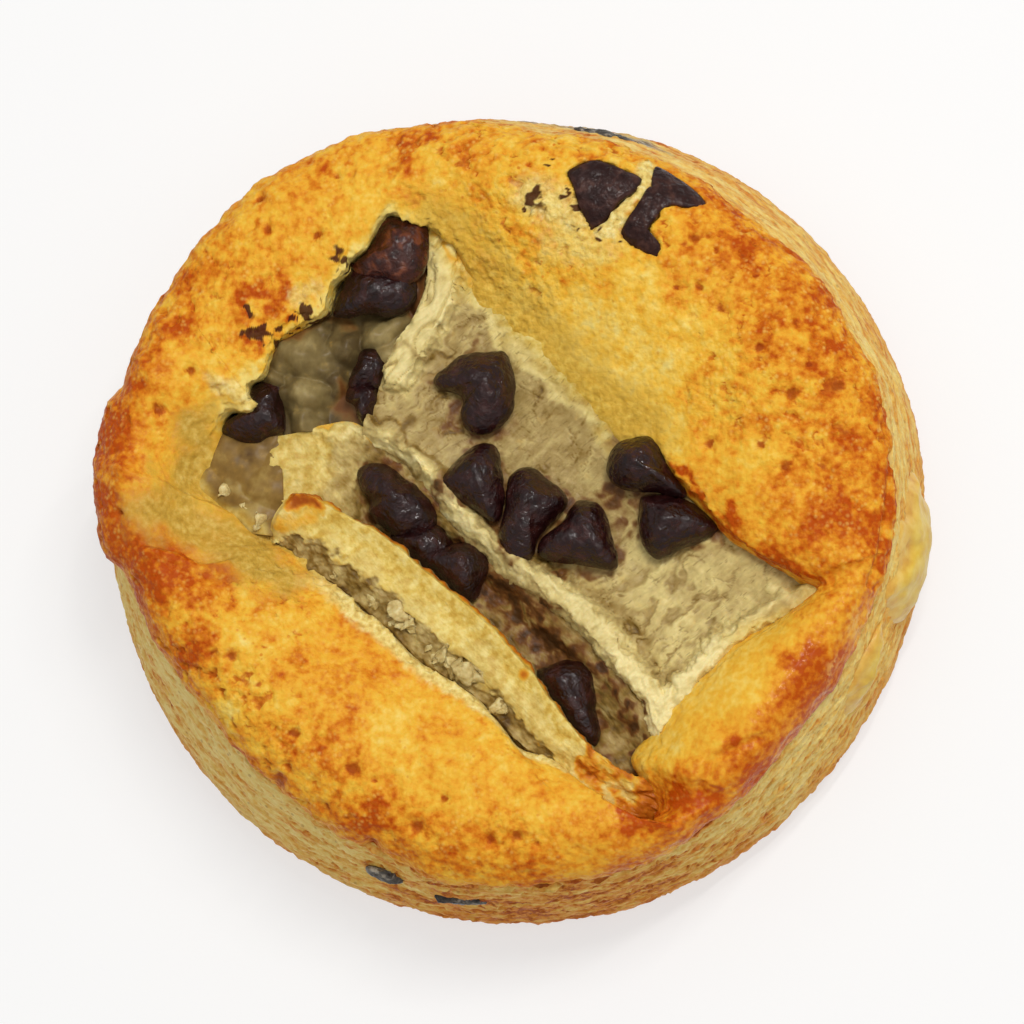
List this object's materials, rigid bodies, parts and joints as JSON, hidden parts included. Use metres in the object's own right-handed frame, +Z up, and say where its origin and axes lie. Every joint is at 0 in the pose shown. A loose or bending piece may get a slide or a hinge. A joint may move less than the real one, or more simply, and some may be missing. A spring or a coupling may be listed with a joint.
{
  "type": "baked pear and chocolate chip tartlet",
  "caption": "Small round baked tart with a browned domed crust, an open well of cooked pear slices on top, and dark chocolate chips scattered over it.",
  "frame": {"origin": "centre of the flat underside", "axes": "+Z up out of the well; the pear slices run from back left (-X, +Y) to front right (+X, -Y)"},
  "size_m": [0.0992, 0.0966, 0.0311],
  "materials": {
    "crust": "baked golden crust",
    "pear": "moist cooked fruit flesh",
    "chocolate": "melted dark chocolate"
  },
  "bodies": {
    "root": {"cake": "crust", "pear_slice_broad": "pear", "pear_slice_upright": "pear", "pear_slice_sunken": "pear", "pear_slice_back": "pear", "pear_slice_left": "pear", "pear_slice_side": "pear", "pear_slice_side_front": "pear", "chocolate_chip_01": "chocolate", "chocolate_chip_02": "chocolate", "chocolate_chip_03": "chocolate", "chocolate_chip_04": "chocolate", "chocolate_chip_05": "chocolate", "chocolate_chip_06": "chocolate", "chocolate_chip_07": "chocolate", "chocolate_chip_08": "chocolate", "chocolate_chip_09": "chocolate", "chocolate_chip_10": "chocolate", "chocolate_chip_11": "chocolate", "chocolate_chip_12": "chocolate", "chocolate_chip_13": "chocolate", "chocolate_chip_14": "chocolate", "chocolate_chip_15": "chocolate", "chocolate_chip_16": "chocolate", "chocolate_chip_17": "chocolate", "chocolate_chip_18": "chocolate", "chocolate_chip_19": "chocolate", "chocolate_chip_20": "chocolate", "chocolate_chip_21": "chocolate"}
  },
  "joints": []
}
